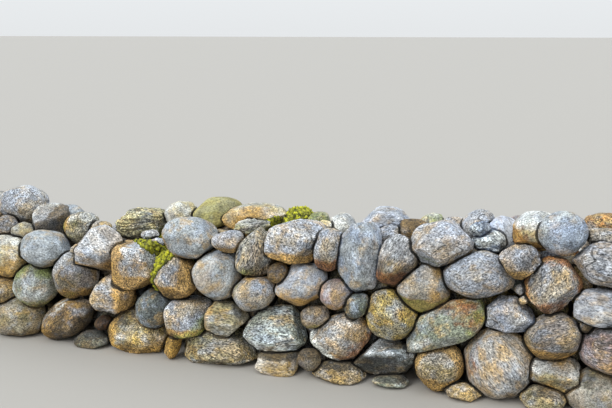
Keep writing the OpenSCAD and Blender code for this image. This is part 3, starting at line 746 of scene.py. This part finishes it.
def weatheredRock(name, look):  # the rock's own minerals under what weather leaves on it
    material = bareMaterial("weathered" + name[0].upper() + name[1:])
    tree = material.node_tree
    grain = addNode(tree, "Attribute", {}, attribute_name="grain")["Vector"]
    noise, channels = {}, {}  # a cell of each noise holds two of its swirls
    for use, (size, detail, rough) in {"patches": (look["patchMm"], *patchNoise), **swirls}.items():
        noise[use] = addNode(tree, "TexNoise", {
            "Vector": grain, "Scale": 500 / size, "Detail": detail, "Roughness": rough})
        channels[use] = addNode(tree, "SeparateColor", {"Color": noise[use]["Color"]})

    # layers of colour: the value, where it starts and is full, the most of it, and its colour
    layers = [(noise["patches"]["Fac"], *starts["second"], 1.0, look["second"])]
    if look["bandMm"]:
        along = addNode(tree, "Mapping", {
            "Vector": grain, "Scale": leaves["scale"], "Rotation": leaves["turn"]})["Vector"]
        bands = addNode(tree, "TexNoise", {
            "Vector": along, "Scale": 1000 / look["bandMm"], "Detail": leaves["detail"],
            "Roughness": leaves["rough"], "Distortion": leaves["warp"]})["Fac"]
        layers.append((bands, *starts["leaves"], look["bandShare"], leaves["colour"]))
    for channel, mineral in minerals.items():
        layers.append((channels["tints"][channel], *starts["tints"], look["tints"], mineral))
    for kind, film in weather.items():  # painted on the boulder, its edge broken up by a ragged noise
        painted = addNode(tree, "Attribute", {}, attribute_name=kind)["Fac"]
        use, channel = film["ragged"]
        both = addNode(tree, "Math", {0: painted, 1: channels[use][channel]}, operation="ADD")
        layers.append((both[0], *starts["film"], film["cover"], film["colour"]))
    colour = toLinear(look["ground"])
    for value, low, high, most, over in layers:
        amount = addNode(tree, "MapRange", {
            "Value": value, "From Min": low, "From Max": high, "To Max": most},
            interpolation_type="SMOOTHSTEP")["Result"]
        colour = addNode(tree, "Mix", {0: amount, 6: colour, 7: toLinear(over)}, data_type="RGBA")[2]

    # crystals: each cell is one crystal, and its random number says if it is dark, plain or pale
    crystals = addNode(tree, "TexVoronoi", {"Vector": grain, "Scale": 1000 / look["crystalMm"]})["Color"]
    number = addNode(tree, "SeparateColor", {"Color": crystals})
    # pocks: painted shade of a hole in the middle of some cells of a wider net
    net = addNode(tree, "TexVoronoi", {"Vector": grain, "Scale": 1000 / pocks["pitchMm"]})
    netNumber = addNode(tree, "SeparateColor", {"Color": net["Color"]})["Red"]
    holeSize = addNode(tree, "MapRange", {
        "Value": netNumber, "From Min": 1 - pocks["share"],
        "To Max": pocks["radiusMm"] / pocks["pitchMm"]})["Result"]
    hole = addNode(tree, "Math", {0: net["Distance"], 1: holeSize}, operation="SUBTRACT")[0]
    # cracks: wandering hairlines where a smooth noise crosses its middle, on part of the surface only
    wander = addNode(tree, "Math", {
        0: noise["wander"]["Fac"], 1: 0.5, 2: crackWidth}, operation="COMPARE")[0]
    low, high = starts["cracked"]
    where = addNode(tree, "MapRange", {
        "Value": channels["patches"]["Green"], "From Min": low, "From Max": high})["Result"]
    crack = addNode(tree, "Math", {0: wander, 1: where}, operation="MULTIPLY")[0]

    # lighter and darker grain, with painted shade in the pocks: each value from and to, and how bright the
    # colour is there
    pattern = 1.0
    dark, pale = look["dark"], 1 - look["pale"]
    paleFull = pale + crystalEdge * (1 - pale)
    for value, low, high, least, most in (
            (number["Red"], dark * crystalEdge, dark, 1 - look["fleck"], 1.0),
            (number["Red"], pale, paleFull, 1.0, 1 + look["fleck"]),
            (hole, *starts["pock"], 1 - pocks["depth"], 1.0),
            (crack, 0.0, 1.0, 1.0, 1 - look["cracks"]),
            (noise["clouds"]["Fac"], *starts["shade"], 1 - look["cloud"], 1 + look["cloud"]),
            (noise["dust"]["Fac"], *starts["shade"], 1 - look["dust"], 1 + look["dust"])):
        share = addNode(tree, "MapRange", {
            "Value": value, "From Min": low, "From Max": high, "To Min": least, "To Max": most})
        pattern = addNode(tree, "Math", {0: pattern, 1: share["Result"]}, operation="MULTIPLY")[0]
    contrast = addNode(tree, "Attribute", {}, attribute_name="contrast")["Fac"]
    pattern = addNode(tree, "Math", {0: pattern, 1: contrast}, operation="POWER")[0]
    # tone: each boulder's own tone, with painted light on ridges, painted shade in dents and deep in the
    # heart
    tone = addNode(tree, "Attribute", {}, attribute_name="tone")["Fac"]
    light = addNode(tree, "Math", {0: pattern, 1: tone}, operation="MULTIPLY")[0]
    colour = addNode(tree, "VectorMath", {0: colour, "Scale": light}, operation="SCALE")

    # relief: pits of 13 mm and less, then the grit of the crystals
    pits = addNode(tree, "Bump", {
        "Height": noise["pits"]["Fac"], "Strength": 1.0, "Distance": look["pitMm"] / 1000})
    grit = addNode(tree, "Math", {
        0: number["Green"], 1: gritShare, 2: noise["dust"]["Fac"]}, operation="MULTIPLY_ADD")
    relief = addNode(tree, "Bump", {
        "Height": grit[0], "Strength": 1.0, "Distance": look["gritMm"] / 1000,
        "Normal": pits["Normal"]})
    surface = addNode(tree, "BsdfPrincipled", {
        "Base Color": colour["Vector"], "Roughness": look["roughness"], "IOR": mineralIor,
        "Normal": relief["Normal"]})
    addNode(tree, "OutputMaterial", {"Surface": surface["BSDF"]})
    return material


materials = {rock: weatheredRock(rock, look) for rock, look in rocks.items()}
print("rock surfaces:", len(materials))


def placeMesh(name, places, quads, values, looks, picks=None):  # joins parts, with values painted on them
    starts = np.cumsum([0] + [len(part) for part in places[:-1]])
    faces = np.concatenate([part + start for part, start in zip(quads, starts)])
    mesh = bpy.data.meshes.new(name)
    mesh.from_pydata(np.concatenate(places).tolist(), [], faces.tolist())
    for look in looks:
        mesh.materials.append(look)
    if picks:
        mesh.polygons.foreach_set("material_index", np.concatenate(picks))
    mesh.shade_smooth()
    for key, parts in values.items():
        value = np.concatenate(parts).astype(np.float32)
        kind, field = ("FLOAT_VECTOR", "vector") if value.ndim == 2 else ("FLOAT", "value")
        mesh.attributes.new(key, kind, "POINT").data.foreach_set(field, value.reshape(-1))
    mesh.update()
    placed = bpy.data.objects.new(name, mesh)
    bpy.context.scene.collection.objects.link(placed)
    return placed


def addPiece(name, node, stones):  # joins one node's boulders into one piece that stands for it
    places, quads, picks = [], [], []
    values = {key: [] for key in ["grain", "tone", "contrast", *weather]}
    used = sorted({s["rock"] for s in stones})
    shift = shaping["grainShift"]
    for s in stones:
        draw = np.random.default_rng(s["seed"] + 5)
        points = np.clip(outside(s), wallLow, wallHigh)
        places.append(points)
        quads.append(s["grid"]["quads"])
        picks.append(np.full(len(s["grid"]["quads"]), used.index(s["rock"])))
        streak = (draw.uniform(*shaping["streak"]), shaping["streakAcross"], 1.0)
        values["grain"].append((points - s["middle"]) @ s["axes"] * streak + draw.uniform(-shift, shift, 3))
        # painted light and shade: ridges made paler and dents darker through the tone
        ridge = s["radius"] - evened(s["radius"], s["grid"], shaping["ridgeRounds"])
        ridge = np.clip(ridge * s["half"].mean() * 1000 / shaping["ridgeHeight"], -1, 1)
        tone = math.prod(strengths(s["words"], "tone")) * draw.uniform(*shaping["toneDrift"])
        values["tone"].append(tone * (1 + shaping["ridgeLight"] * ridge))
        values["contrast"].append(np.full(len(points), math.prod(strengths(s["words"], "contrast"))))
        for key, mask in weatherMasks(s, points).items():
            values[key].append(mask)
    piece = placeMesh(name, places, quads, values, [materials[rock] for rock in used], picks)
    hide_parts(node)
    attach(piece, "root")
    return 2 * len(piece.data.polygons)


triangles = {node: addPiece(node + "_stones", node, stones) for node, stones in grown.items()}
print("pieces:", len(triangles), "triangles:", sum(triangles.values()), "most:", max(triangles.values()))

# Moss: springy cushions of tiny leaves, quite matt. The leaves are too fine for the picture, so they are
# drawn as tufts of 4 to 9 mm. It grows on the boulders whose words name moss.
moss = {
    "tuft": (0.0042, 0.0094),  # radius of a tuft, in metres
    "byDepth": (0.6, 0.5),  # a tuft's share of that at the edge of the moss, and what its depth adds
    "room": 0.000034,  # square metres for each tuft
    "sink": 0.2, "stretch": 1.35, "shaggy": 0.22,  # shares of a tuft
    "ragged": 0.2, "bare": 0.2,  # how uneven the edge is, and how thin the moss may get
    # how broad the cushions are and how far they rise, in metres, and how much painted light and shade they
    # lay on the tufts
    "cushion": 0.030, "cushionRise": 0.005, "cushionMost": 1.5, "cushionShade": 0.5, "tones": (0.55, 1.3),
    # root colour: dark roots and painted shade deep between the tufts, then leaf and tip colours up each
    # tuft
    "root": "#2a2a06", "leaf": "#62660f", "tip": "#9a9820", "leafFrom": 0.15, "tipFrom": 0.6,
    "roughness": 0.95, "sheen": 0.1,
}


def mossCushions():  # dark roots with painted shade between the tufts, and bright at their tips
    material = bareMaterial("cushionMoss")
    tree = material.node_tree
    height = addNode(tree, "Attribute", {}, attribute_name="height")["Fac"]
    tone = addNode(tree, "Attribute", {}, attribute_name="tone")["Fac"]
    colour = toLinear(moss["root"])
    leafFrom, tipFrom = moss["leafFrom"], moss["tipFrom"]
    for low, high, over in ((leafFrom, tipFrom, moss["leaf"]), (tipFrom, 1.0, moss["tip"])):
        amount = addNode(tree, "MapRange", {"Value": height, "From Min": low, "From Max": high})["Result"]
        colour = addNode(tree, "Mix", {0: amount, 6: colour, 7: toLinear(over)}, data_type="RGBA")[2]
    colour = addNode(tree, "VectorMath", {0: colour, "Scale": tone}, operation="SCALE")
    surface = addNode(tree, "BsdfPrincipled", {
        "Base Color": colour["Vector"], "Roughness": moss["roughness"],
        "Sheen Weight": moss["sheen"]})
    addNode(tree, "OutputMaterial", {"Surface": surface["BSDF"]})
    return material


def addMoss(name, stones):  # tufts on the mossy sides of these boulders, as one piece
    ball = ballGrid(2)
    places, quads = [], []
    values = {"height": [], "tone": []}
    for s in stones:
        draw = np.random.default_rng(s["seed"] + 9)
        points, faces = outside(s), s["grid"]["quads"]
        corners = points[faces]
        cross = np.cross(corners[:, 2] - corners[:, 0], corners[:, 3] - corners[:, 1]) / 2
        area = np.linalg.norm(cross, axis=1)
        uneven = 1 + moss["ragged"] * ripples(corners.mean(1), shaping["dentWave"], draw)
        thick = weatherMasks(s, points)["moss"][faces].mean(1)
        thick = np.clip(thick * uneven - moss["bare"], 0, 1)
        clear = np.clip(2 - 2 * s["joint"][faces].mean(1), 0, 1)  # none where boulders touch
        many = draw.poisson(area * np.minimum(1, 2 * thick) * clear / moss["room"])
        host = np.repeat(np.arange(len(many)), many)
        u, v = draw.uniform(0, 1, (2, len(host), 1))
        c = corners[host]
        spot = (c[:, 0] * (1 - u) + c[:, 1] * u) * (1 - v) + (c[:, 3] * (1 - u) + c[:, 2] * u) * v
        out = cross[host] / area[host][:, None]
        cushion = ripples(spot, moss["cushion"], draw)
        cushion = np.clip(cushion, -moss["cushionMost"], moss["cushionMost"])
        least, more = moss["byDepth"]
        size = draw.uniform(*moss["tuft"], len(host)) * (least + more * thick[host])
        shaggy = 1 + moss["shaggy"] * draw.normal(size=(len(host), len(ball["ways"]), 1))
        ways = ball["ways"][None] * shaggy
        rise = (ways * out[:, None]).sum(2)
        ways = ways + (moss["stretch"] - 1) * rise[..., None] * out[:, None]
        lift = size * moss["sink"] + moss["cushionRise"] * np.maximum(0, cushion) * thick[host]
        tufts = (spot + out * lift[:, None])[:, None] + ways * size[:, None, None]
        places.append(np.clip(tufts.reshape(-1, 3), wallLow, wallHigh))
        # painted light and shade: tufts on a cushion's crest lighter, those in its hollows darker
        tone = draw.uniform(*moss["tones"], len(host)) * (1 + moss["cushionShade"] * cushion)
        values["height"].append((np.clip(rise, -1, 1) / 2 + 0.5).reshape(-1))
        values["tone"].append(np.repeat(tone, len(ball["ways"])))
        first = np.arange(len(host)) * len(ball["ways"])
        quads.append((ball["quads"][None] + first[:, None, None]).reshape(-1, 4))
    piece = placeMesh(name, places, quads, values, [mossMaterial])
    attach(piece, "root")
    return 2 * len(piece.data.polygons)


mossMaterial = mossCushions()
for node, stones in grown.items():
    mossy = [s for s in stones if strengths(s["words"], "moss")]
    if mossy:
        triangles[node + "_moss"] = addMoss(node + "_moss", mossy)
print("with moss, triangles:", sum(triangles.values()))

# The studio: a pale matt floor under an even overcast sky, twice as bright overhead as at its edge.
studio = {
    "floorSize": 400.0, "floorColour": "#a49f96", "floorRoughness": 0.9,
    "zenith": "#dfe8f4", "edge": "#e8ebed", "skyStrength": 1.95, "edgeShare": 0.50,
    "sunTurn": -30.0, "sunHeight": 40.0, "sunStrength": 1.65, "sunSpread": 35.0,
}
bpy.ops.mesh.primitive_plane_add(size=studio["floorSize"])
floor = bpy.context.object
floor.name = "studio_floor"
floorMaterial = bpy.data.materials.new("mattFloorPaint")
floorMaterial.use_nodes = True
floorShader = floorMaterial.node_tree.nodes["Principled BSDF"]
floorShader.inputs["Base Color"].default_value = toLinear(studio["floorColour"])
floorShader.inputs["Roughness"].default_value = studio["floorRoughness"]
floor.data.materials.append(floorMaterial)

world = bpy.data.worlds.new("overcast")
world.use_nodes = True
tree = world.node_tree
tree.nodes.clear()
way = addNode(tree, "TexCoord", {})["Generated"]
rise = addNode(tree, "SeparateXYZ", {0: way})["Z"]
level = addNode(tree, "MapRange", {"Value": rise, "To Min": studio["edgeShare"]})["Result"]
tint = addNode(tree, "Mix", {
    0: rise, 6: toLinear(studio["edge"]), 7: toLinear(studio["zenith"])}, data_type="RGBA")[2]
bright = addNode(tree, "Math", {0: level, 1: studio["skyStrength"]}, operation="MULTIPLY")[0]
glow = addNode(tree, "Background", {"Color": tint, "Strength": bright})["Background"]
addNode(tree, "OutputWorld", {"Surface": glow})
bpy.context.scene.world = world
bpy.context.scene.view_settings.view_transform = "Standard"

sun = bpy.data.objects.new("softSun", bpy.data.lights.new("softSun", "SUN"))
sun.data.energy = studio["sunStrength"]
sun.data.angle = math.radians(studio["sunSpread"])
sun.rotation_euler = (math.radians(90 - studio["sunHeight"]), 0, math.radians(studio["sunTurn"]))
bpy.context.scene.collection.objects.link(sun)

# The camera stands where the photograph was taken: a little right of the middle, at eye height.
lens = {"place": (1.54, -4.10, 1.73), "turnLeft": 19.0, "pitchDown": 11.7, "focalPixels": 841.0,
        "frameWidth": 612.0, "sensor": 36.0}
camera = bpy.data.objects.new("camera", bpy.data.cameras.new("camera"))
camera.data.sensor_width = lens["sensor"]
camera.data.lens = lens["focalPixels"] / lens["frameWidth"] * lens["sensor"]
camera.location = lens["place"]
camera.rotation_euler = (math.radians(90 - lens["pitchDown"]), 0, math.radians(lens["turnLeft"]))
bpy.context.scene.collection.objects.link(camera)
bpy.context.scene.camera = camera
